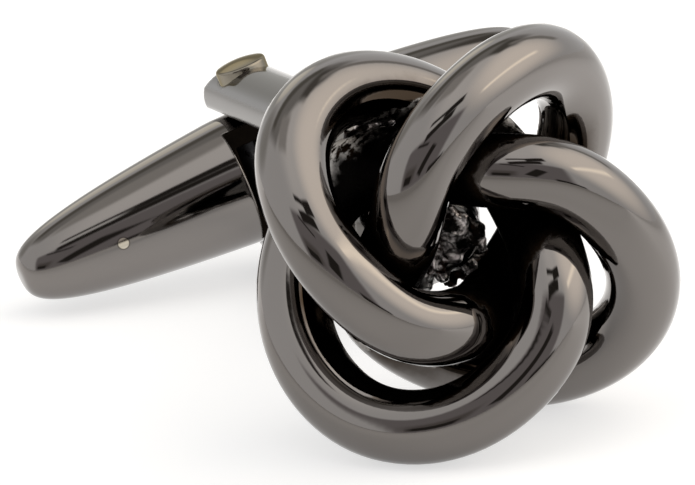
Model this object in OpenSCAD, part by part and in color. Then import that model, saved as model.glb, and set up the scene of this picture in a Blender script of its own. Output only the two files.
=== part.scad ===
// Knot cufflink: an open four-lobed knot, cast as one strand that closes on itself,
// carried by a forked shank whose rivet holds a bullet-shaped swivel toggle.
// The pieces are drawn upright, with the knot's axis along Z and its front up, and
// lay() then puts them down the way the cufflink rests on a table.

/* [Knot] */
// Reach of the strand's guide points from the knot's axis
knot_reach = 7.2; // [6.6:0.1:8.4]
// Rise of the guide points in front of and behind the mid plane
knot_rise = 3.6; // [3.4:0.05:4.2]
// Diameter of the strand
strand_d = 2.5; // [1.8:0.05:2.55]

/* [Shank] */
// Distance from the knot's mid plane back to the toggle's pivot
pivot_drop = 20.2; // [19.4:0.1:23]
// Diameter of the round neck
neck_d = 2.6; // [1.8:0.1:2.7]
// Thickness of the foot's rim
foot_rim = 0.7; // [0.4:0.05:0.9]
// Distance from the knot's mid plane back to the foot's underside
foot_drop = 4.6; // [4.2:0.1:5]
// Height of the flare between the neck and the foot
flare_h = 0.6; // [0.3:0.1:0.9]
// Height of the cone between the foot's rim and the peg
cone_h = 2.3; // [1.6:0.1:2.6]
// Length of the peg above the cone
peg_h = 1.1; // [0.6:0.1:1.6]

/* [Fork] */
// Width of the fork's arms
arm_w = 2.8; // [2.7:0.05:3.2]
// Thickness of an arm at the middle of its crowned outer face
arm_t = 1.25; // [1.1:0.05:1.35]
// Thickness of an arm at its edges
arm_edge_t = 0.25; // [0.2:0.05:0.4]
// Width of the bevel along an arm's inner edges
arm_break = 0.15; // [0.1:0.05:0.15]
// Distance from the pivot to the end of an arm
arm_end = 1.9; // [1.7:0.05:2]
// Radius of the corners of an arm's end
end_round = 0.7; // [0.4:0.05:0.9]
// Radius of the arc along which an arm's outer face falls off to its end
nose_r = 2.6; // [2.4:0.1:3]
// Distance from the pivot to the start of that arc
nose_start = 0.9; // [0.8:0.05:1]

/* [Toggle] */
// Length of the toggle
toggle_l = 20.4; // [18:0.1:21.4]
// Diameter of the toggle beside its hub
toggle_d = 4.66; // [4.2:0.02:5]
// Length of the notch in the toggle's front
notch_l = 3.6; // [3:0.1:4.4]
// Height of the notch's floor above the pivot
notch_rise = 1.15; // [1:0.05:1.4]
// Length of the spring pocket along the toggle
pocket_l = 3; // [2.6:0.1:3.4]
// Width of the spring pocket across the toggle
pocket_w = 2.7; // [2:0.1:3]
// Depth of the spring pocket below the pivot
pocket_drop = 1.45; // [1.2:0.05:1.6]

/* [Rivet and spring] */
// Diameter of the rivet's shank
pin_d = 1.2; // [1:0.05:1.4]
// Width across the four flats at the middle of the rivet
pin_flat_w = 1; // [0.85:0.01:1]
// Diameter of the rivet's domed heads
head_d = 1.85; // [1.6:0.05:2]
// Height of a head's straight side above its seat
head_side_h = 0.48; // [0.4:0.02:0.6]
// Height of a head's dome above its side
head_dome_h = 0.15; // [0.1:0.01:0.2]
// Depth of the spot face that each head seats on
seat_depth = 0.33; // [0.3:0.01:0.36]
// Thickness of the leaf spring
leaf_t = 0.2; // [0.12:0.02:0.24]

/* [Clearances] */
// Side clearance between the toggle and each arm
side_gap = 0.12; // [0.08:0.02:0.2]
// Clearance between the swinging toggle's tip and the fork's bend
swing_gap = 0.4; // [0.3:0.05:0.8]
// Running clearance of the rivet in the toggle, all round
run_gap = 0.05; // [0.02:0.01:0.1]
// Clearance of the rivet in the arms, all round
rivet_gap = 0.02; // [0.01:0.01:0.04]
// Clearance of the leaf spring in its pocket
leaf_gap = 0.05; // [0.03:0.01:0.08]
// Clearance between the foot's rim and the knot's strand, filled with braze
foot_gap = 0.58; // [0.5:0.02:0.8]

/* [Resting pose] */
// Roll of the cufflink about the knot's axis
lay_roll = 14.4; // [0:0.1:45]
// Angle by which the knot's front leans up from the table
lay_tilt = 7.75; // [0:0.05:20]

/* [Hidden] */

$fn = 96;
cut = 1;

lobes = 4;
knot_angle = 67.6;
// One lobe's guide points: share of the reach, angle about the axis, share of the rise.
// The next lobe on the strand repeats them three quarters of a turn further on.
guide_shares = [
    [0.998, -28, 0.18],
    [0.826, -2, 0.87],
    [0.55, 43, 0.99],
    [0.357, 79, 0.78],
    [0.394, 115, -0.01],
    [0.485, 140, -0.79],
    [0.633, 183, -0.95],
    [0.889, 216, -0.47]
];
lobe_step = 270;
core_share = 0.62;
ring_steps = 5;
strand_sides = 20;

// Bullet outline: radius at the belly over the hub's, and the two powers of its curve
belly_share = 1.06;
taper_power = 0.97;
blunt_power = 3.5;
bullet_steps = 24;

guides_per_lobe = len(guide_shares);
guide_count = lobes * guides_per_lobe;

toggle_r = toggle_d / 2;
toggle_half = toggle_l / 2;
fork_gap = toggle_r + side_gap;
bend_z = toggle_half + swing_gap - pivot_drop - fork_gap;
crotch_z = bend_z + fork_gap;
crown_sag = arm_t - arm_edge_t;
crown_r = (pow(arm_w / 2, 2) + pow(crown_sag, 2)) / (2 * crown_sag);
arm_face = fork_gap + arm_t;
head_seat = arm_face - seat_depth;
head_rim = head_seat + head_side_h;
head_top = head_rim + head_dome_h;
dome_r = (pow(head_d / 2, 2) + pow(head_dome_h, 2)) / (2 * head_dome_h);
pin_r = pin_d / 2;

// Guide point number i, counted on round the strand
function guide(i) =
    let (k = floor(i / guides_per_lobe))
    let (g = guide_shares[i - k * guides_per_lobe])
    let (turn = g[1] + k * lobe_step + knot_angle)
    [g[0] * knot_reach * cos(turn), g[0] * knot_reach * sin(turn), g[2] * knot_rise];

// Smooth blend of four guide points, and its direction, at share u of the way along
function blend(a, b, c, d, u) =
    (pow(1 - u, 3) * a
        + (3 * pow(u, 3) - 6 * pow(u, 2) + 4) * b
        + (3 * u + 3 * pow(u, 2) - 3 * pow(u, 3) + 1) * c
        + pow(u, 3) * d) / 6;
function blend_way(a, b, c, d, u) =
    (3 * pow(u, 2) - 4 * u) * b
        + (1 + 2 * u - 3 * pow(u, 2)) * c
        + pow(u, 2) * d
        - pow(1 - u, 2) * a;
function strand_at(i, u) = blend(guide(i), guide(i + 1), guide(i + 2), guide(i + 3), u);
function strand_way(i, u) = blend_way(guide(i), guide(i + 1), guide(i + 2), guide(i + 3), u);

function unit(v) = v / norm(v);

// Direction away from the knot's core circle, square to the strand
function strand_out(p, way) =
    let (core = unit([p[0], p[1], 0]) * core_share * knot_reach)
    let (away = p - core)
    unit(away - (away * way) * way);

// One ring of points round the strand
function strand_ring(i, u) =
    let (p = strand_at(i, u))
    let (way = unit(strand_way(i, u)))
    let (out = strand_out(p, way))
    let (side = cross(way, out))
    [for (s = [0 : strand_sides - 1])
        let (a = 360 * s / strand_sides)
        p + strand_d / 2 * (cos(a) * out + sin(a) * side)];

// The strand's centre line, and the free radius that it leaves round the knot's axis at
// height z
strand_line = [
    for (i = [0 : guide_count - 1])
        for (s = [0 : ring_steps - 1])
            strand_at(i, s / ring_steps)
];
function hole_r(z) = min([
    for (p = strand_line)
        let (off = abs(p[2] - z))
        if (off < strand_d / 2)
            norm([p[0], p[1]]) - sqrt(pow(strand_d / 2, 2) - pow(off, 2))
]);

// The foot fills the knot's rear hole but for its clearance, and the peg follows it
peg_share = 0.5;
foot_r = hole_r(foot_rim - foot_drop) - foot_gap;
peg_r = peg_share * foot_r;

// Radius of the toggle at distance s from the pivot
function bullet_r(s) =
    min(toggle_r, toggle_r * belly_share
        * pow(max(0, 1 - pow(s / toggle_half, taper_power)), 1 / blunt_power));

// Where a point or a direction of the upright cufflink comes to when it is laid down
tip = 90 - lay_tilt;
function turned(p) = [
    p[0] * cos(lay_roll) - p[1] * sin(lay_roll),
    p[0] * sin(lay_roll) + p[1] * cos(lay_roll),
    p[2]
];
function tipped(p) = [p[0] * cos(tip) + p[2] * sin(tip), p[1], p[2] * cos(tip) - p[0] * sin(tip)];
function laid(p) = tipped(turned(p));

// Reach of the laid strand, toggle and rivet along each direction
strand_laid = [for (p = strand_line) laid(p)];
pivot_laid = laid([0, 0, -pivot_drop]);
toggle_way = laid([0, 1, 0]);
rivet_way = laid([1, 0, 0]);
function toggle_reach(k) =
    max([for (i = [0 : bullet_steps])
        let (s = toggle_half * sin(90 * i / bullet_steps))
        s * abs(toggle_way[k]) + bullet_r(s) * sqrt(1 - pow(toggle_way[k], 2))]);
function rivet_reach(k) =
    let (along = abs(rivet_way[k]))
    let (across = sqrt(1 - pow(along, 2)))
    across * dome_r < head_d / 2
        ? (head_top - dome_r) * along + dome_r
        : head_rim * along + head_d / 2 * across;
function reach(k) = max(toggle_reach(k), rivet_reach(k));
function low(k) = min(
    min([for (p = strand_laid) p[k]]) - strand_d / 2, pivot_laid[k] - reach(k));
function high(k) = max(
    max([for (p = strand_laid) p[k]]) + strand_d / 2, pivot_laid[k] + reach(k));
function middle(k) = (low(k) + high(k)) / 2;
lay_shift = [for (k = [0 : 2]) k < 2 ? -middle(k) : -low(k)];

module lay() {
    translate(lay_shift)
        rotate([0, tip, 0])
            rotate([0, 0, lay_roll])
                children();
}

// The pivot: the rivet runs along X and the toggle along Y
module at_pivot() {
    translate([0, 0, -pivot_drop])
        children();
}

// A round bar along X, centred on the pivot
module cross_bar(d, l) {
    rotate([0, 90, 0])
        cylinder(d = d, h = l, center = true);
}

// The cast strand: three times round the knot's axis, over two and under two
module knot() {
    rings = guide_count * ring_steps;
    points = [
        for (i = [0 : guide_count - 1])
            for (s = [0 : ring_steps - 1])
                each strand_ring(i, s / ring_steps)
    ];
    faces = [
        for (k = [0 : rings - 1])
            for (s = [0 : strand_sides - 1])
                let (n = (k + 1) % rings)
                let (t = (s + 1) % strand_sides)
                each [
                    [k * strand_sides + s, k * strand_sides + t, n * strand_sides + t],
                    [k * strand_sides + s, n * strand_sides + t, n * strand_sides + s]
                ]
    ];
    color("#4a4746")
        lay()
            polyhedron(points = points, faces = faces);
}

// Braze in the knot's centre: rough beads round the peg, and four that reach the rear
// passes of the strand. Each bead: share of the foot's radius from the axis, angle,
// share of the foot's drop behind the mid plane, radius as a share of the foot's.
bead_shares = [
    [0.2, 167, 0.06, 0.34],
    [0.26, 70, 0.1, 0.3],
    [0.5, 47, 0.17, 0.22],
    [0.5, 313, 0.15, 0.26],
    [0.4, 225, 0.12, 0.28],
    [0.38, 5, 0.16, 0.24],
    [0.8, 326, 0.5, 0.26],
    [0.96, 359, 0.6, 0.22]
];
tack_share = [0.93, 30, 0.62, 0.32];

module bead(b) {
    rotate([0, 0, b[1]])
        translate([b[0] * foot_r, 0, -b[2] * foot_drop])
            sphere(r = b[3] * foot_r);
}

// The collar that the braze makes round the peg and its cone: share of the foot's
// radius, share of the foot's drop.
collar_shares = [
    [0, -0.06],
    [0.42, -0.07],
    [0.56, -0.13],
    [0.73, -0.4],
    [0.92, -0.68],
    [0.9, -0.74],
    [0, -0.74]
];

module solder() {
    color("#2b2826")
        lay()
            difference() {
                union() {
                    rotate_extrude()
                        polygon([for (c = collar_shares) [c[0] * foot_r, c[1] * foot_drop]]);
                    for (b = bead_shares)
                        bead(b);
                    for (k = [0 : lobes - 1])
                        rotate([0, 0, k * 360 / lobes])
                            bead(tack_share);
                }
                stem();
            }
}

// Section of the fork's strip: flat inside with bevelled edges, crowned outside
module strip_section() {
    intersection() {
        polygon([
            [0, arm_w / 2 - arm_break],
            [0, arm_break - arm_w / 2],
            [arm_break, -arm_w / 2],
            [arm_t + cut, -arm_w / 2],
            [arm_t + cut, arm_w / 2],
            [arm_break, arm_w / 2]
        ]);
        translate([arm_t - crown_r, 0])
            circle(r = crown_r);
    }
}

// What comes off one corner of an arm's end
module end_corner() {
    difference() {
        translate([arm_w / 2 - end_round, -arm_end - cut])
            square([end_round + cut, end_round + cut]);
        translate([arm_w / 2 - end_round, end_round - arm_end])
            circle(r = end_round);
    }
}

module fork_arm() {
    difference() {
        translate([fork_gap, 0, -pivot_drop - arm_end])
            linear_extrude(height = bend_z + pivot_drop + arm_end)
                strip_section();
        at_pivot() {
            rotate([90, 0, 90])
                linear_extrude(height = arm_face + cut) {
                    end_corner();
                    mirror([1, 0])
                        end_corner();
                }
            difference() {
                translate([fork_gap, -arm_w / 2 - cut, -arm_end - cut])
                    cube([arm_t + cut, arm_w + 2 * cut, arm_end + cut]);
                translate([arm_face - sqrt(pow(nose_r, 2) - pow(nose_start, 2)), 0, 0])
                    rotate([90, 0, 0])
                        cylinder(r = nose_r, h = arm_w + 4 * cut, center = true);
            }
        }
    }
}

module fork_bend() {
    translate([0, 0, bend_z])
        rotate([90, 0, 0])
            rotate_extrude(angle = 180)
                translate([fork_gap, 0])
                    strip_section();
}

// Neck, flare, foot and peg, turned in one piece
module stem() {
    foot_z = -foot_drop;
    rotate_extrude()
        polygon([
            [0, crotch_z + arm_t / 4],
            [neck_d / 2, crotch_z + arm_t / 4],
            [neck_d / 2, foot_z - flare_h],
            [foot_r, foot_z],
            [foot_r, foot_z + foot_rim],
            [peg_r, foot_z + foot_rim + cone_h],
            [peg_r, foot_z + foot_rim + cone_h + peg_h],
            [0, foot_z + foot_rim + cone_h + peg_h]
        ]);
}

module shank_fork() {
    color("#8f8b88")
        lay()
            difference() {
                union() {
                    fork_arm();
                    mirror([1, 0, 0])
                        fork_arm();
                    fork_bend();
                    stem();
                }
                at_pivot() {
                    cross_bar(pin_d + 2 * rivet_gap, 2 * (arm_face + cut));
                    for (way = [0, 180])
                        rotate([0, 0, way])
                            translate([head_seat, 0, 0])
                                rotate([0, 90, 0])
                                    cylinder(d = head_d + 2 * rivet_gap, h = seat_depth + cut);
                }
            }
}

// Half of the rivet along its axis: the shank, and the domed head on its spot face
module rivet_half() {
    rotate([0, 90, 0])
        rotate_extrude()
            union() {
                square([pin_r, head_seat]);
                translate([0, head_seat])
                    square([head_d / 2, head_side_h]);
                intersection() {
                    translate([0, head_top - dome_r])
                        circle(r = dome_r);
                    translate([0, head_rim])
                        square([head_d, head_dome_h + cut]);
                }
            }
}

module rivet() {
    color("#b3a79a")
        lay()
            at_pivot()
                difference() {
                    union() {
                        rivet_half();
                        mirror([1, 0, 0])
                            rivet_half();
                    }
                    for (side = [0 : 3])
                        rotate([90 * side, 0, 0])
                            translate([-pocket_w / 2, -pin_r, pin_flat_w / 2])
                                cube([pocket_w, pin_d, pin_r]);
                }
}

module toggle_blank() {
    rotate([-90, 0, 0])
        rotate_extrude()
            polygon([
                for (i = [-bullet_steps : bullet_steps])
                    let (s = toggle_half * sin(90 * i / bullet_steps))
                    [abs(i) == bullet_steps ? 0 : bullet_r(abs(s)), s]
            ]);
}

module toggle() {
    color("#56524f")
        lay()
            at_pivot()
                difference() {
                    toggle_blank();
                    translate([-toggle_d / 2 - cut, -notch_l / 2, notch_rise])
                        cube([toggle_d + 2 * cut, notch_l, toggle_d]);
                    translate([-pocket_w / 2, -pocket_l / 2, -pocket_drop])
                        cube([pocket_w, pocket_l, pocket_drop + toggle_d]);
                    cross_bar(pin_d + 2 * run_gap, toggle_d + 2 * cut);
                }
}

// Bowed leaf: its ends stand on the pocket's floor and its crown lies under the rivet
module leaf_spring() {
    leaf_half = pocket_l / 2 - leaf_gap;
    crown_z = -pin_r - leaf_gap;
    rise = pocket_drop + crown_z - leaf_t;
    bow_r = (pow(leaf_half, 2) + pow(rise, 2)) / (2 * rise);
    leaf_w = pocket_w - 2 * leaf_gap;
    color("#9a9a9c")
        lay()
            at_pivot()
                rotate([90, 0, 90])
                    translate([0, 0, -leaf_w / 2])
                        linear_extrude(height = leaf_w)
                            intersection() {
                                difference() {
                                    translate([0, crown_z - bow_r])
                                        circle(r = bow_r);
                                    translate([0, crown_z - bow_r])
                                        circle(r = bow_r - leaf_t);
                                }
                                translate([-leaf_half, -pocket_drop])
                                    square([2 * leaf_half, pocket_drop]);
                            }
}

knot();
solder();
shank_fork();
rivet();
toggle();
leaf_spring();
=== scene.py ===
from math import cos, pi, radians, sin, tan

import bmesh
import bpy
import numpy as np
from mathutils import Matrix, Vector, noise as lumps


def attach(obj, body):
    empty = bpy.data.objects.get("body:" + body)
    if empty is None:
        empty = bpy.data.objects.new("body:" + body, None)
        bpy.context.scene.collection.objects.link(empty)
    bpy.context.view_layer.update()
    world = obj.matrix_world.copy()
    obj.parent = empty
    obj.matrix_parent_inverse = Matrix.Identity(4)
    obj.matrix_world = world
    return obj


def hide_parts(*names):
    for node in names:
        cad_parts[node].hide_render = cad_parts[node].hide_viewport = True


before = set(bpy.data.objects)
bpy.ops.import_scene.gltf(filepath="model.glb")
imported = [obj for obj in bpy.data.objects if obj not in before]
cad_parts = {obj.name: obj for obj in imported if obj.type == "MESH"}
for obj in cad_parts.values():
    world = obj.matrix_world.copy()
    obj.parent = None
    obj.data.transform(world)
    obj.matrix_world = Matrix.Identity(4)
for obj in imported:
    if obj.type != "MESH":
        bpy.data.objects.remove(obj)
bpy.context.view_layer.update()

MM = 0.001

# The camera's place in mm in the CAD frame, the way it looks and its upward: 0.29 m off,
# a little to the left of the knot's front and 18 degrees above the table
CAMERA_AT = (258.635, -79.007, 89.921)
CAMERA_WAY = (-0.91275, 0.27496, -0.30214)
CAMERA_UP = (-0.26464, 0.16546, 0.95005)
LENS_MM = 428.0
SENSOR_MM = 36.0
CLIP_START = 0.01
CLIP_END = 10.0


def new_object(name, data):
    item = bpy.data.objects.new(name, data)
    bpy.context.scene.collection.objects.link(item)
    return item


def set_camera():
    data = bpy.data.cameras.new("camera")
    data.lens = LENS_MM
    data.sensor_width = SENSOR_MM
    data.clip_start = CLIP_START
    data.clip_end = CLIP_END
    camera = new_object("camera", data)
    back = -Vector(CAMERA_WAY).normalized()
    right = Vector(CAMERA_UP).cross(back).normalized()
    up = back.cross(right)
    turn = Matrix((right, up, back)).transposed().to_4x4()
    camera.matrix_world = Matrix.Translation(Vector(CAMERA_AT) * MM) @ turn
    bpy.context.scene.camera = camera


# The pieces are drawn in mm in the upright cufflink: the knot's axis up, its mid plane at
# 0, the rivet along X, the toggle along Y. This is how the cufflink is then laid down.
LAY_ROLL = 14.4
LAY_TILT = 7.75
LAY_SHIFT = Vector((8.6362, 0.0, 6.68163))
PIVOT_DROP = 20.2

LAY = (
    Matrix.Translation(LAY_SHIFT * MM)
    @ Matrix.Rotation(radians(90 - LAY_TILT), 4, "Y")
    @ Matrix.Rotation(radians(LAY_ROLL), 4, "Z")
    @ Matrix.Scale(MM, 4)
)


def lay_down(piece, drop=0.0):
    """Put a piece of the upright cufflink, drawn at the origin, where it lies: its place is
    so many mm under the knot's mid plane."""
    piece.data.transform(LAY @ Matrix.Translation((0, 0, -drop)))


def settled_mesh(item):
    """The mesh of a sweep, or of a piece with its modifiers."""
    graph = bpy.context.evaluated_depsgraph_get()
    return bpy.data.meshes.new_from_object(item.evaluated_get(graph))


def smooth_skin(mesh, crease=None):
    """Shade a mesh as smooth, with sharp edges where it turns by more than the crease."""
    mesh.polygons.foreach_set("use_smooth", [True] * len(mesh.polygons))
    if crease:
        mesh.set_sharp_from_angle(angle=radians(crease))


# The knot's strand. Guide points of one lobe: share of the reach, angle, share of the
# rise. The next lobe on the strand is three quarters of a turn further on.
KNOT_REACH = 7.2
KNOT_RISE = 3.6
KNOT_TURN = 67.6
STRAND_R = 1.25
LOBES = 4
LOBE_STEP = 270
GUIDES = (
    (0.998, -28, 0.18),
    (0.826, -2, 0.87),
    (0.55, 43, 0.99),
    (0.357, 79, 0.78),
    (0.394, 115, -0.01),
    (0.485, 140, -0.79),
    (0.633, 183, -0.95),
    (0.889, 216, -0.47),
)
# A cubic sweep, with the fineness of its round section and its steps from one guide point
# to the next
STRAND_ORDER = 4
ROUND_FINENESS = 9
ALONG_STEPS = 12


def knot_guides():
    for lobe in range(LOBES):
        for reach, angle, rise in GUIDES:
            turn = radians(angle + lobe * LOBE_STEP + KNOT_TURN)
            r = reach * KNOT_REACH
            yield LAY @ Vector((r * cos(turn), r * sin(turn), rise * KNOT_RISE))


def knot_strand():
    """One closed round strand, swept along the guide points."""
    curve = bpy.data.curves.new("knot_strand", "CURVE")
    curve.dimensions = "3D"
    curve.bevel_depth = STRAND_R * MM
    curve.bevel_resolution = ROUND_FINENESS
    curve.resolution_u = ALONG_STEPS
    curve.twist_mode = "MINIMUM"
    spline = curve.splines.new("NURBS")
    guides = list(knot_guides())
    spline.points.add(len(guides) - 1)
    for point, at in zip(spline.points, guides):
        point.co = (*at, 1.0)
    spline.order_u = STRAND_ORDER
    spline.use_cyclic_u = True
    swept = new_object("knot_curve", curve)
    mesh = settled_mesh(swept)
    bpy.data.objects.remove(swept)
    smooth_skin(mesh)
    return new_object("knot_strand", mesh)


def strand_line():
    """Points on the strand's centre line, in m."""
    guides = list(knot_guides())
    count = len(guides)
    line = []
    for i in range(count):
        a, b, c, d = (guides[(i + k) % count] for k in range(4))
        for step in range(ALONG_STEPS):
            u = step / ALONG_STEPS
            line.append(
                (
                    (1 - u) ** 3 * a
                    + (3 * u**3 - 6 * u**2 + 4) * b
                    + (3 * u + 3 * u**2 - 3 * u**3 + 1) * c
                    + u**3 * d
                )
                / 6
            )
    return np.array([list(p) for p in line])


# The largest ball, as a radius in m, that tells how tight each place of the strand is for the
# brown painted shade. The strand beside a point doesn't stop the ball there, and is told by
# these shares of the strand's radius.
BALL_MAX = 0.02
BESIDE_LEAN = 0.98
BESIDE_REACH = 1.5
NEVER_ZERO = 1e-9


def mark_narrow_ball_reach(piece):
    """Largest ball that can touch each point of the strand, which places the brown painted
    shade.
    """
    mesh = piece.data
    count = len(mesh.vertices)
    places = np.empty(count * 3)
    mesh.vertices.foreach_get("co", places)
    places = places.reshape(-1, 3)
    outward = np.empty(count * 3)
    mesh.vertex_normals.foreach_get("vector", outward)
    outward = outward.reshape(-1, 3)
    radius = STRAND_R * MM
    reach = np.full(count, BALL_MAX)
    for centre in strand_line():
        away = places - centre
        leaning = np.einsum("ij,ij->i", away, outward)
        apart = np.einsum("ij,ij->i", away, away) - radius**2
        stops = (leaning < radius * BESIDE_LEAN) & (apart > (radius * BESIDE_REACH) ** 2)
        ball = apart / np.maximum(2 * (radius - leaning), NEVER_ZERO)
        reach = np.minimum(reach, np.where(stops, ball, BALL_MAX))
    layer = mesh.attributes.new("narrow_ball_reach", "FLOAT", "POINT")
    layer.data.foreach_set("value", (reach / BALL_MAX).astype(np.float32))


# The knot's middle is rough, with black painted shade: inside this distance from its axis
# and behind this height. Its mark goes from 0 to 1 over the span, with 0.5 at the edge.
MIDDLE_REACH = 4.55
MIDDLE_HEIGHT = 3.3
MIDDLE_SPAN = 10.0
# The rear side's mark fades in over 1 mm, from this height to as much below the mid plane
REAR_FROM = 0.5


def rough_shaded_middle(at):
    """How far a place is from the rough middle."""
    outside = max(Vector((at.x, at.y)).length - MIDDLE_REACH, at.z - MIDDLE_HEIGHT)
    return 0.5 + outside / MIDDLE_SPAN


def rear_side(at):
    """1 behind the knot's mid plane and 0 in front of it."""
    return min(max(REAR_FROM - at.z, 0.0), 1.0)


def mark_strand(piece, name, mark_at):
    """Mark each point of the strand by its place in the upright knot."""
    upright = LAY.inverted()
    layer = piece.data.attributes.new(name, "FLOAT", "POINT")
    for vertex, mark in zip(piece.data.vertices, layer.data):
        mark.value = mark_at(upright @ vertex.co)


# Points of a turned skin closer than this, in mm, are one
SAME_POINT = 0.0001


def lathe(outline, axis, steps):
    """Turn an outline of points round an axis through the origin into a closed skin."""
    shape = bmesh.new()
    points = [shape.verts.new(at) for at in outline]
    edges = [shape.edges.new(pair) for pair in zip(points, points[1:])]
    bmesh.ops.spin(
        shape,
        geom=points + edges,
        cent=(0, 0, 0),
        axis=axis,
        angle=2 * pi,
        steps=steps,
        use_merge=True,
    )
    bmesh.ops.remove_doubles(shape, verts=shape.verts, dist=SAME_POINT)
    bmesh.ops.recalc_face_normals(shape, faces=shape.faces)
    return shape


def made_object(name, shape):
    mesh = bpy.data.meshes.new(name)
    shape.to_mesh(mesh)
    shape.free()
    return new_object(name, mesh)


def with_modifiers(piece):
    """Settle a piece's modifiers into its mesh."""
    mesh = settled_mesh(piece)
    piece.modifiers.clear()
    piece.data = mesh


def cut_away(piece, *cutters):
    for cutter in cutters:
        modifier = piece.modifiers.new("cut", "BOOLEAN")
        modifier.operation = "DIFFERENCE"
        modifier.solver = "EXACT"
        modifier.object = cutter
    with_modifiers(piece)
    for cutter in cutters:
        bpy.data.objects.remove(cutter)


def block(name, low, high):
    shape = bmesh.new()
    bmesh.ops.create_cube(shape, size=1.0)
    size = Vector(high) - Vector(low)
    bmesh.ops.scale(shape, vec=size, verts=shape.verts)
    bmesh.ops.translate(shape, vec=(Vector(high) + Vector(low)) / 2, verts=shape.verts)
    return made_object(name, shape)


# The toggle: its bullet outline, its notch, its spring pocket and its bore for the rivet
TOGGLE_R = 2.33
TOGGLE_HALF = 10.2
BELLY = 1.06
TAPER = 0.97
BLUNT = 3.5
NOTCH_HALF = 1.8
NOTCH_RISE = 1.15
POCKET_HALF = (1.35, 1.5)
POCKET_DROP = 1.45
BORE_R = 0.65
BORE_SIDES = 48
TOGGLE_STEPS = 56
TOGGLE_SIDES = 96
TOGGLE_CREASE = 30
# Cutters end here, outside the toggle
PAST_SIDE = 3
PAST_TOP = 4
# A face is the toggle's skin past the notch's ends, and between them where it lies this
# near the outline and faces outward by this share
NOTCH_END = 2
SKIN_DEPTH = 0.02
SKIN_FACING = 0.9


def bullet_r(s):
    """The toggle's radius at a distance from its middle."""
    taper = max(0.0, 1 - (s / TOGGLE_HALF) ** TAPER) ** (1 / BLUNT)
    return min(TOGGLE_R, TOGGLE_R * BELLY * taper)


def rivet_bore():
    shape = bmesh.new()
    bmesh.ops.create_cone(
        shape,
        segments=BORE_SIDES,
        radius1=BORE_R,
        radius2=BORE_R,
        depth=2 * PAST_SIDE,
        cap_ends=True,
        matrix=Matrix.Rotation(pi / 2, 4, "Y"),
    )
    return made_object("rivet bore", shape)


def mark_inside_notch(mesh):
    """1 on the faces that the notch, the pocket and the bore cut, 0 on the skin."""
    layer = mesh.attributes.new("inside_notch", "FLOAT", "FACE")
    for face, mark in zip(mesh.polygons, layer.data):
        x, y, z = face.center
        r = (x * x + z * z) ** 0.5
        outward = face.normal.x * x + face.normal.z * z > SKIN_FACING * r
        skin = outward and r > bullet_r(abs(y)) - SKIN_DEPTH
        mark.value = 0.0 if skin or abs(y) > NOTCH_END else 1.0


def toggle_bullet():
    """The bullet with its notch, its spring pocket and the rivet's bore."""
    outline = []
    for i in range(-TOGGLE_STEPS, TOGGLE_STEPS + 1):
        s = TOGGLE_HALF * sin(pi / 2 * i / TOGGLE_STEPS)
        at_tip = abs(i) == TOGGLE_STEPS
        outline.append((0.0 if at_tip else bullet_r(abs(s)), s, 0.0))
    piece = made_object("toggle_bullet", lathe(outline, (0, 1, 0), TOGGLE_SIDES))
    wide, long = POCKET_HALF
    notch_low = (-PAST_SIDE, -NOTCH_HALF, NOTCH_RISE)
    cut_away(
        piece,
        block("notch", notch_low, (PAST_SIDE, NOTCH_HALF, PAST_TOP)),
        block("pocket", (-wide, -long, -POCKET_DROP), (wide, long, PAST_TOP)),
        rivet_bore(),
    )
    mark_inside_notch(piece.data)
    smooth_skin(piece.data, TOGGLE_CREASE)
    return piece


# One end of the rivet from its middle out: distance from the middle, radius
RIVET_END = (
    (0.0, 0.6),
    (3.37, 0.6),
    (3.37, 0.925),
    (3.77, 0.925),
    (3.81, 0.918),
    (3.845, 0.9),
    (3.868, 0.868),
    (3.88, 0.83),
    (3.931, 0.63),
    (3.97, 0.42),
    (3.993, 0.2),
    (4.0, 0.0),
)
RIVET_FLAT = 0.5
RIVET_SIDES = 64
RIVET_CREASE = 35
# The flats' cutters end here, outside the pin
PAST_PIN = 1


def cross_rivet():
    """Two low domed heads on a pin with four flats at its middle for the spring."""
    outline = [(-x, 0.0, r) for x, r in reversed(RIVET_END)]
    outline += [(x, 0.0, r) for x, r in RIVET_END[1:]]
    piece = made_object("cross_rivet", lathe(outline, (1, 0, 0), RIVET_SIDES))
    wide = POCKET_HALF[0]
    low = (-wide, -PAST_PIN, -PAST_PIN)
    high = (wide, PAST_PIN, PAST_PIN)
    cut_away(
        piece,
        block("upper flat", (-wide, -PAST_PIN, RIVET_FLAT), high),
        block("lower flat", low, (wide, PAST_PIN, -RIVET_FLAT)),
        block("right flat", (-wide, RIVET_FLAT, -PAST_PIN), high),
        block("left flat", low, (wide, -RIVET_FLAT, PAST_PIN)),
    )
    smooth_skin(piece.data, RIVET_CREASE)
    return piece


# Beads of the braze: share of the foot's radius from the axis, angle, share of the foot's
# drop behind the mid plane, radius as a share of the foot's. The last six crept along the
# rear strand.
FOOT_R = 2.2
FOOT_DROP = 4.6
BRAZE_BEADS = (
    (0.2, 167, 0.02, 0.33),
    (0.26, 70, 0.08, 0.3),
    (0.5, 47, 0.17, 0.22),
    (0.5, 313, 0.15, 0.25),
    (0.4, 225, 0.12, 0.28),
    (0.38, 5, 0.16, 0.24),
    (0.72, 20, 0.33, 0.18),
    (0.62, 338, 0.3, 0.2),
    (0.8, 326, 0.5, 0.26),
    (0.96, 0, 0.66, 0.15),
    (0.93, 30, 0.62, 0.32),
    (0.93, 120, 0.62, 0.32),
    (0.93, 210, 0.62, 0.32),
    (0.93, 300, 0.62, 0.32),
    (2.0, 200.5, 0.5, 0.17),
    (1.98, 194, 0.46, 0.2),
    (1.93, 188, 0.46, 0.18),
    (1.9, 182, 0.48, 0.2),
    (1.9, 176, 0.46, 0.17),
    (1.9, 170, 0.45, 0.18),
)
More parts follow.
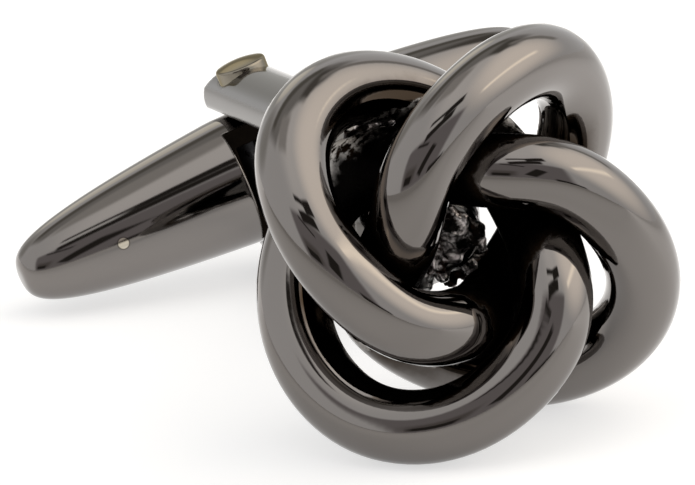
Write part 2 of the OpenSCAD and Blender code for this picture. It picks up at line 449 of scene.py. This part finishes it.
# The collar's outline: share of the foot's radius, share of the foot's drop
BRAZE_COLLAR = (
    (0, -0.06),
    (0.42, -0.07),
    (0.56, -0.13),
    (0.73, -0.4),
    (0.92, -0.68),
    (0.9, -0.74),
)
COLLAR_SIDES = 48
BEAD_STEPS = 3
BRAZE_VOXEL = 0.07
# Lumps swell out where their noise is over the level, pits only sink in
LUMP_SCALE = 1.3
LUMP_LEVEL = 0.6
LUMP_DEPTH = 0.22
PIT_SCALE = 7.0
PIT_DEPTH = 0.06
LUMP_OCTAVES = 2


def braze_lump():
    """Beads and collar run together, then pitted and lumped as rough braze is."""
    outline = [(x * FOOT_R, 0.0, z * FOOT_DROP) for x, z in BRAZE_COLLAR]
    shape = lathe([*outline, (0.0, 0.0, outline[-1][2])], (0, 0, 1), COLLAR_SIDES)
    for share, angle, drop, size in BRAZE_BEADS:
        turn = radians(angle)
        at = (share * FOOT_R * cos(turn), share * FOOT_R * sin(turn), -drop * FOOT_DROP)
        bmesh.ops.create_icosphere(
            shape,
            subdivisions=BEAD_STEPS,
            radius=size * FOOT_R,
            matrix=Matrix.Translation(at),
        )
    piece = made_object("braze_lump", shape)
    remesh = piece.modifiers.new("run together", "REMESH")
    remesh.mode = "VOXEL"
    remesh.voxel_size = BRAZE_VOXEL
    with_modifiers(piece)
    mesh = piece.data
    moved = []
    for vertex in mesh.vertices:
        lump = lumps.turbulence(vertex.co * LUMP_SCALE, LUMP_OCTAVES, False)
        pit = lumps.turbulence(vertex.co * PIT_SCALE, LUMP_OCTAVES, True)
        rise = LUMP_DEPTH * (lump - LUMP_LEVEL) - PIT_DEPTH * pit
        moved.append(vertex.co + vertex.normal * rise)
    for vertex, at in zip(mesh.vertices, moved):
        vertex.co = at
    smooth_skin(mesh)
    return piece


def feed(tree, socket, value):
    """Link a node's output to a socket, or set the socket to a number, place or colour."""
    if hasattr(value, "is_output"):
        tree.links.new(value, socket)
    elif socket.type == "RGBA":
        socket.default_value = (*value, 1)
    else:
        socket.default_value = value


def feed_named(tree, inputs, values):
    """Feed the inputs that the keys name, with _ for a space."""
    for key, value in values.items():
        feed(tree, inputs[key.replace("_", " ")], value)


def new_material(name):
    """A new material with its node tree and its shader's inputs."""
    material = bpy.data.materials.new(name)
    material.use_nodes = True
    tree = material.node_tree
    return material, tree, tree.nodes["Principled BSDF"].inputs


def new_metal(name):
    material, tree, shader = new_material(name)
    feed_named(tree, shader, {"Metallic": 1.0})
    return material, tree, shader


def add(tree, kind, settings=None, **inputs):
    """A node with its settings and what its named inputs are fed."""
    node = tree.nodes.new("ShaderNode" + kind)
    for key, value in (settings or {}).items():
        setattr(node, key, value)
    feed_named(tree, node.inputs, inputs)
    return node


def object_coords(tree):
    return add(tree, "TexCoord").outputs["Object"]


def marked(tree, name):
    """What a piece's own marks say."""
    return add(tree, "Attribute", {"attribute_name": name}).outputs["Fac"]


def noise(tree, pattern):
    scale, detail, roughness = pattern
    node = add(
        tree,
        "TexNoise",
        Vector=object_coords(tree),
        Scale=scale,
        Detail=detail,
        Roughness=roughness,
    )
    return node.outputs["Fac"]


def remap(tree, value, low, high, to_low=0.0, to_high=1.0, smooth=False):
    node = add(tree, "MapRange", Value=value)
    if smooth:
        node.interpolation_type = "SMOOTHSTEP"
    numbers = {"From_Min": low, "From_Max": high, "To_Min": to_low, "To_Max": to_high}
    feed_named(tree, node.inputs, numbers)
    return node.outputs["Result"]


def maths(tree, operation, *values):
    node = add(tree, "Math", {"operation": operation})
    for socket, value in zip(node.inputs, values):
        feed(tree, socket, value)
    return node.outputs[0]


def between_places(tree, operation, a, b):
    """The distance or the dot product of two places or ways."""
    node = add(tree, "VectorMath", {"operation": operation})
    feed(tree, node.inputs[0], a)
    feed(tree, node.inputs[1], b)
    return node.outputs["Value"]


# A mix node's first input, second input and output for each kind of value
MIX_SOCKETS = {"FLOAT": (2, 3, 0), "VECTOR": (4, 5, 1), "RGBA": (6, 7, 2)}


def mix(tree, factor, a, b, kind="RGBA"):
    node = add(tree, "Mix", {"data_type": kind})
    first, second, result = MIX_SOCKETS[kind]
    for place, value in ((0, factor), (first, a), (second, b)):
        feed(tree, node.inputs[place], value)
    return node.outputs[result]


def bump(tree, height, strength, distance):
    return add(tree, "Bump", Strength=strength, Distance=distance, Height=height)


# Noise patterns: scale per m, detail, roughness. Their middle value is the same.
NOISE_MIDDLE = 0.5
COLOUR_DRIFT = (180.0, 2.0, 0.5)
BUFFING_HAZE = (2600.0, 4.0, 0.5)
SLIGHT_WAVES = (420.0, 1.0, 0.5)
RAGGED = (900.0, 5.0, 0.6)
CAST_GRAIN = (2200.0, 7.0, 0.65)
TOOLING = (1500.0, 5.0, 0.6)
BRAZE_CRUST = (1100.0, 6.0, 0.65)
BRAZE_BURNS = (700.0, 3.0, 0.5)

# Polished plating: how far its colour and its roughness drift, the part of the haze's
# noise that counts, the strength of the waves and their height in m
GUNMETAL = (0.203, 0.188, 0.178)
POLISHED_ROUGH = 0.045
SHADE_DRIFT = (0.93, 1.06)
HAZE_PART = (0.3, 0.8)
ROUGH_DRIFT = (0.7, 1.5)
WAVE_STRENGTH = 0.12
WAVE_HEIGHT = 0.00004
EDGE_SAMPLES = 6


def polish_marks(tree, colour, roughness, rounding=None):
    """Slight waviness, buffing haze and colour drift of a polished plating, with its edges
    rounded by so many m."""
    shades = [tuple(c * drift for c in colour) for drift in SHADE_DRIFT]
    tint = mix(tree, noise(tree, COLOUR_DRIFT), *shades)
    haze = noise(tree, BUFFING_HAZE)
    rough = remap(tree, haze, *HAZE_PART, *(roughness * drift for drift in ROUGH_DRIFT))
    waves = bump(tree, noise(tree, SLIGHT_WAVES), WAVE_STRENGTH, WAVE_HEIGHT)
    if rounding:
        soft_edge = add(tree, "Bevel", {"samples": EDGE_SAMPLES}, Radius=rounding)
        feed(tree, waves.inputs["Normal"], soft_edge.outputs["Normal"])
    return tint, rough, waves.outputs["Normal"]


PLAIN_TINT = (1.0, 1.0, 1.0)


def plated_metal(name, colour, roughness, rounding=None, edge_tint=PLAIN_TINT):
    """A polished plating, with the tint that it takes where it is seen at a slant."""
    material, tree, shader = new_metal(name)
    tint, rough, normal = polish_marks(tree, colour, roughness, rounding)
    values = {
        "Base_Color": tint,
        "Roughness": rough,
        "Normal": normal,
        "Specular_Tint": edge_tint,
    }
    feed_named(tree, shader, values)
    return material


# The knot gets brown painted shade where only a ball of this share of the largest fits in,
# and is rough, with black painted shade, where its middle's mark is under the edge. Ragged
# noise moves both borders.
NARROW = (0.095, 0.055)
NARROW_RAGGED = 0.03
# Brown painted shade for the tight places behind the mid plane
NARROW_SHADE_BROWN = (0.045, 0.032, 0.022)
MIDDLE_RAGGED = 0.09
MIDDLE_EDGE = (0.49, 0.506)
SHADE_FRINGE = (0.45, 0.5)
# Black painted shade in the middle and brown painted shade at its fringe
MIDDLE_SHADE_BLACK = (0.003, 0.0027, 0.0024)
FRINGE_SHADE_BROWN = (0.02, 0.013, 0.008)
# Painted glints: bright spots over this part of the grain noise, on the rim behind the mid
# plane
GLINT_PART = (0.44, 0.56)
GLINT = (0.66, 0.63, 0.6)
# Low tint at a slant, so that the painted shade stays dark at grazing angles
MIDDLE_SHADE_TINT = (0.06, 0.05, 0.045)
# Cast and tooled metal alike: the part of the noise that counts, and the roughness there
DULL_PART = (0.3, 0.7)
DULL_ROUGH = (0.35, 0.6)
GRAIN_STRENGTH = 0.6
GRAIN_HEIGHT = 0.0001


def knot_material():
    """Polished plate, with brown painted shade in the tight places, and rough inside, with
    black painted shade and painted glints.
    """
    material, tree, shader = new_metal("polished knot with painted shade in the middle")
    tint, rough, normal = polish_marks(tree, GUNMETAL, POLISHED_ROUGH)
    ragged = maths(tree, "SUBTRACT", noise(tree, RAGGED), NOISE_MIDDLE)
    behind = marked(tree, "rear_side")

    # Brown painted shade in the tight places, behind the mid plane only
    narrow_edge = maths(tree, "MULTIPLY", ragged, NARROW_RAGGED)
    narrow_ball = maths(tree, "ADD", marked(tree, "narrow_ball_reach"), narrow_edge)
    narrow_shade = maths(tree, "MULTIPLY", behind, remap(tree, narrow_ball, *NARROW, smooth=True))
    tint = mix(tree, narrow_shade, tint, NARROW_SHADE_BROWN)

    middle_edge = maths(tree, "MULTIPLY", ragged, MIDDLE_RAGGED)
    middle = maths(tree, "ADD", marked(tree, "rough_shaded_middle"), middle_edge)
    polished = remap(tree, middle, *MIDDLE_EDGE, smooth=True)
    fringe = remap(tree, middle, *SHADE_FRINGE, smooth=True)
    grain = noise(tree, CAST_GRAIN)
    # Painted shade: black in the middle, brown at its fringe, with painted glints on its rim
    # behind the mid plane
    shaded = mix(tree, fringe, MIDDLE_SHADE_BLACK, FRINGE_SHADE_BROWN)
    rim = maths(tree, "MULTIPLY", fringe, behind)
    glints = maths(tree, "MULTIPLY", rim, remap(tree, grain, *GLINT_PART, smooth=True))
    shaded = mix(tree, glints, shaded, GLINT)
    cast_rough = remap(tree, grain, *DULL_PART, *DULL_ROUGH)
    cast_normal = bump(tree, grain, GRAIN_STRENGTH, GRAIN_HEIGHT).outputs["Normal"]

    values = {
        "Base_Color": mix(tree, polished, shaded, tint),
        "Specular_Tint": mix(tree, polished, MIDDLE_SHADE_TINT, PLAIN_TINT),
        "Roughness": mix(tree, polished, cast_rough, rough, "FLOAT"),
        "Normal": mix(tree, polished, cast_normal, normal, "VECTOR"),
    }
    feed_named(tree, shader, values)
    return material


# Spots, as places in the upright cufflink and reaches in mm: a small nick in the toggle's
# plating, shown as a painted highlight that a painted dark rim surrounds, and a painted
# highlight on the braze
NICK = Vector((-0.05, -6.68, -18.39))
NICK_REACH = 0.25
NICK_RIM = 0.85
NICK_CORE = 0.7
# The nick's painted dark rim and its painted highlight
NICK_RIM_SHADE = (0.09, 0.08, 0.07)
NICK_HIGHLIGHT = (0.62, 0.57, 0.47)
# A painted highlight spot on the braze
BRAZE_HIGHLIGHT_SPOT = Vector((1.8, -0.5, -2.25))
BRAZE_HIGHLIGHT_REACH = 0.9
BRAZE_HIGHLIGHT_CORE = 0.6
BRAZE_HIGHLIGHT_COLOUR = (0.78, 0.77, 0.75)


def spot(tree, place, reach, inner, smooth=False):
    """1 within the inner distance from a place, 0 beyond the reach, both in mm."""
    away = between_places(tree, "DISTANCE", object_coords(tree), LAY @ place)
    return remap(tree, away, reach * MM, inner * MM, smooth=smooth)


# The toggle's inside, where the notch, the pocket and the bore were cut: painted shade, black
# to brown, with a low tint at a slant
TOGGLE_ROUNDING = 0.0001
NOTCH_SHADE_BLACK = (0.004, 0.0035, 0.003)
NOTCH_SHADE_BROWN = (0.016, 0.012, 0.009)
NOTCH_SHADE_TINT = (0.05, 0.045, 0.04)


def toggle_material():
    """Polished outside; black to brown painted shade, rough, where the notch and pocket were
    cut.
    """
    material, tree, shader = new_metal("polished toggle with painted shade in the notch")
    tint, rough, normal = polish_marks(tree, GUNMETAL, POLISHED_ROUGH, TOGGLE_ROUNDING)
    inside = marked(tree, "inside_notch")
    tooling = noise(tree, TOOLING)
    # Painted shade in the notch, pocket and bore, black to brown over the noise
    notch_shade = mix(tree, tooling, NOTCH_SHADE_BLACK, NOTCH_SHADE_BROWN)
    dull_rough = remap(tree, tooling, *DULL_PART, *DULL_ROUGH)
    rim = NICK_RIM * NICK_REACH
    # The nick: a painted dark rim round a painted highlight
    tint = mix(tree, spot(tree, NICK, NICK_REACH, rim), tint, NICK_RIM_SHADE)
    tint = mix(tree, spot(tree, NICK, rim, NICK_CORE * NICK_REACH), tint, NICK_HIGHLIGHT)
    values = {
        "Base_Color": mix(tree, inside, tint, notch_shade),
        "Specular_Tint": mix(tree, inside, PLAIN_TINT, NOTCH_SHADE_TINT),
        "Roughness": mix(tree, inside, rough, dull_rough, "FLOAT"),
        "Normal": normal,
    }
    feed_named(tree, shader, values)
    return material


# The braze's colours and the parts of the noise where they lie
CRUST_BLACK = (0.008, 0.007, 0.006)
BURNT_BROWN = (0.045, 0.02, 0.013)
BURNT_PART = (0.45, 0.65)
PITTED_GREY = (0.64, 0.59, 0.57)
GREY_PART = (0.47, 0.57)
CRUST_PART = (0.4, 0.65)
CRUST_ROUGH = (0.5, 0.25)
CRUST_STRENGTH = 0.8
CRUST_HEIGHT = 0.00008


def braze_material():
    """Black crust with burnt red-brown, grey pitted rises and one painted highlight spot."""
    material, tree, shader = new_metal("rough braze")
    crust = noise(tree, BRAZE_CRUST)
    burnt = remap(tree, noise(tree, BRAZE_BURNS), *BURNT_PART, smooth=True)
    colour = mix(tree, burnt, CRUST_BLACK, BURNT_BROWN)
    rises = remap(tree, crust, *GREY_PART, smooth=True)
    colour = mix(tree, rises, colour, PITTED_GREY)
    # The painted highlight spot on the braze
    highlight_spot = spot(tree, BRAZE_HIGHLIGHT_SPOT, BRAZE_HIGHLIGHT_REACH, BRAZE_HIGHLIGHT_CORE * BRAZE_HIGHLIGHT_REACH, smooth=True)
    values = {
        "Base_Color": mix(tree, highlight_spot, colour, BRAZE_HIGHLIGHT_COLOUR),
        "Roughness": remap(tree, crust, *CRUST_PART, *CRUST_ROUGH),
        "Normal": bump(tree, crust, CRUST_STRENGTH, CRUST_HEIGHT).outputs["Normal"],
    }
    feed_named(tree, shader, values)
    return material


# The other finishes: colour, roughness, rounding of the edges in m, tint at a slant
SHANK_FINISH = ((0.152, 0.145, 0.138), 0.08, 0.0002)
RIVET_FINISH = ((0.22, 0.2, 0.165), 0.1, None, (0.6, 0.56, 0.46))
SPRING_FINISH = ((0.06, 0.06, 0.064), 0.3)


def finish_node(name, material):
    """Give a piece that is shown as its CAD node its finish."""
    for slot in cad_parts[name].material_slots:
        slot.material = material


# The floor's glow: as the camera sees it, and as metal mirrors it at two near distances
# ahead of the object. The mirrored glow loses some more between the far distances, ahead
# and behind alike. Distances are in m, and ahead is to the front left.
FLOOR_GLOW = 0.61
FLOOR_MIRRORED = (0.76, 0.38)
FLOOR_NEAR = (-0.004, 0.014)
FLOOR_LOSS = 0.36
FLOOR_FAR = (0.02, 0.09)
AHEAD = -45
FLOOR_SIZE = 2.0
TABLE_GREY = (0.5, 0.5, 0.5)
TABLE_ROUGH = 0.9
WHITE = (1.0, 1.0, 1.0)


def facing(azimuth, elevation):
    azimuth, elevation = radians(azimuth), radians(elevation)
    return Vector(
        (cos(elevation) * cos(azimuth), cos(elevation) * sin(azimuth), sin(elevation))
    )


def along(tree, way, direction):
    return between_places(tree, "DOT_PRODUCT", way, direction)


def floor_glow(tree):
    """The glow for rays from the camera, from mirrors and through glass; the rest get none."""
    path = add(tree, "LightPath").outputs
    ahead = along(tree, object_coords(tree), facing(AHEAD, 0))
    near = remap(tree, ahead, *FLOOR_NEAR, *FLOOR_MIRRORED)
    away = maths(tree, "ABSOLUTE", ahead)
    mirrored = maths(tree, "SUBTRACT", near, remap(tree, away, *FLOOR_FAR, 0.0, FLOOR_LOSS))
    straight = maths(tree, "MAXIMUM", path["Is Camera Ray"], path["Is Transmission Ray"])
    return maths(
        tree,
        "ADD",
        maths(tree, "MULTIPLY", straight, FLOOR_GLOW),
        maths(tree, "MULTIPLY", path["Is Glossy Ray"], mirrored),
    )


def lay_floor():
    shape = bmesh.new()
    bmesh.ops.create_grid(shape, x_segments=1, y_segments=1, size=FLOOR_SIZE)
    floor = made_object("floor", shape)
    material, tree, shader = new_material("white table")
    values = {
        "Base_Color": TABLE_GREY,
        "Roughness": TABLE_ROUGH,
        "Specular_IOR_Level": 0.0,
        "Emission_Color": WHITE,
        "Emission_Strength": floor_glow(tree),
    }
    feed_named(tree, shader, values)
    floor.data.materials.append(material)


# Soft areas of the studio round the object: azimuth from the knot's front, elevation,
# half angle of the even middle, half angle at which it has faded out, colour
SOFT_AREAS = (
    ((0, 90), 15, 55, (1.38, 1.36, 1.33)),
    ((70, 41), 10, 48, (2.15, 2.0, 1.82)),
    ((-100, 30), 20, 50, (1.05, 1.05, 1.05)),
    ((-150, 20), 6, 22, (0.62, 0.61, 0.58)),
    ((174, 10), 10, 24, (0.62, 0.61, 0.58)),
    ((180, 25), 5, 13, (1.4, 1.34, 1.18)),
)
# A bright strip and dark screens that mirror in the metal: azimuth, elevation, half width,
# half height, turn in their plane, softness of the edge, colour
SCREEN_BLACK = (0.05, 0.045, 0.04)
SCREENS = (
    ((62, 36), 24, 2.5, -12, 3.0, (3.3, 3.0, 2.55)),
    ((178, 57), 33, 14, 0, 5.0, (0.48, 0.47, 0.45)),
    ((-134, 71), 11, 10, 0, 4.0, (0.72, 0.7, 0.67)),
    ((-176, 48), 23, 5, 0, 3.5, (0.25, 0.24, 0.21)),
    ((139, 57), 7, 11, 0, 4.0, (0.2, 0.19, 0.17)),
    ((124, 38), 3.5, 18, -21, 2.5, (0.55, 0.53, 0.5)),
    ((-26, 21), 36, 22, 0, 3.5, (0.38, 0.355, 0.36)),
    ((-46, 12), 11, 7, 0, 4.0, (0.22, 0.2, 0.19)),
    ((-24, 46), 15, 4.2, 10, 1.5, SCREEN_BLACK),
    ((-9, 55.5), 9, 4.5, 8, 1.5, SCREEN_BLACK),
    ((-38, 55), 8, 2, 12, 1.5, SCREEN_BLACK),
    ((-39, 36), 11, 1.2, -12, 1.2, SCREEN_BLACK),
    ((-17, 16), 5.5, 11, -35, 1.5, SCREEN_BLACK),
    ((5, 0), 10, 3.5, -8, 1.5, SCREEN_BLACK),
    ((-48, 8), 8, 4, 0, 1.5, SCREEN_BLACK),
)
# Ways that point behind a screen's plane are taken as this little ahead of it, and so lie
# outside the screen
LEAST_AHEAD = 0.001


def soft_area(tree, way, place, inner, outer):
    """1 near a direction, fading to 0 round it."""
    near = along(tree, way, facing(*place))
    return remap(tree, near, cos(radians(outer)), cos(radians(inner)), smooth=True)


def screen(tree, way, place, half_width, half_height, turn, softness):
    """1 inside a flat screen that faces the object, 0 outside it and behind."""
    middle = facing(*place)
    level = Vector((0, 0, 1)).cross(middle).normalized()
    upward = middle.cross(level)
    across = level * cos(radians(turn)) + upward * sin(radians(turn))
    upright = upward * cos(radians(turn)) - level * sin(radians(turn))
    ahead = maths(tree, "MAXIMUM", along(tree, way, middle), LEAST_AHEAD)
    shares = []
    for direction, half in ((across, half_width), (upright, half_height)):
        off = maths(tree, "DIVIDE", along(tree, way, direction), ahead)
        edge = (tan(radians(half + softness)), tan(radians(half - softness)))
        shares.append(remap(tree, maths(tree, "ABSOLUTE", off), *edge, smooth=True))
    return maths(tree, "MULTIPLY", *shares)


def set_world():
    """The studio, white where the camera sees it and as listed in the metal."""
    world = bpy.data.worlds.new("studio")
    bpy.context.scene.world = world
    world.use_nodes = True
    tree = world.node_tree
    way = add(tree, "TexCoord").outputs["Generated"]
    colour = WHITE
    for place, inner, outer, shade in SOFT_AREAS:
        colour = mix(tree, soft_area(tree, way, place, inner, outer), colour, shade)
    for place, width, height, turn, softness, shade in SCREENS:
        shown = screen(tree, way, place, width, height, turn, softness)
        colour = mix(tree, shown, colour, shade)
    seen = add(tree, "LightPath").outputs["Is Camera Ray"]
    values = {"Color": mix(tree, seen, colour, WHITE), "Strength": 1.0}
    feed_named(tree, tree.nodes["Background"].inputs, values)


set_camera()

strand = knot_strand()
mark_narrow_ball_reach(strand)
mark_strand(strand, "rough_shaded_middle", rough_shaded_middle)
mark_strand(strand, "rear_side", rear_side)
strand.data.materials.append(knot_material())
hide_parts("knot")
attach(strand, "head")
finish_node("shank_fork", plated_metal("shank gunmetal", *SHANK_FINISH))
finish_node("leaf_spring", plated_metal("oiled spring steel", *SPRING_FINISH))

rivet = cross_rivet()
lay_down(rivet, PIVOT_DROP)
rivet.data.materials.append(plated_metal("rivet metal", *RIVET_FINISH))
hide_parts("rivet")
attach(rivet, "head")

bullet = toggle_bullet()
lay_down(bullet, PIVOT_DROP)
bullet.data.materials.append(toggle_material())
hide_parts("toggle")
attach(bullet, "toggle")

braze = braze_lump()
lay_down(braze)
braze.data.materials.append(braze_material())
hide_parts("solder")
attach(braze, "head")

lay_floor()
set_world()
bpy.context.scene.view_settings.view_transform = "Standard"
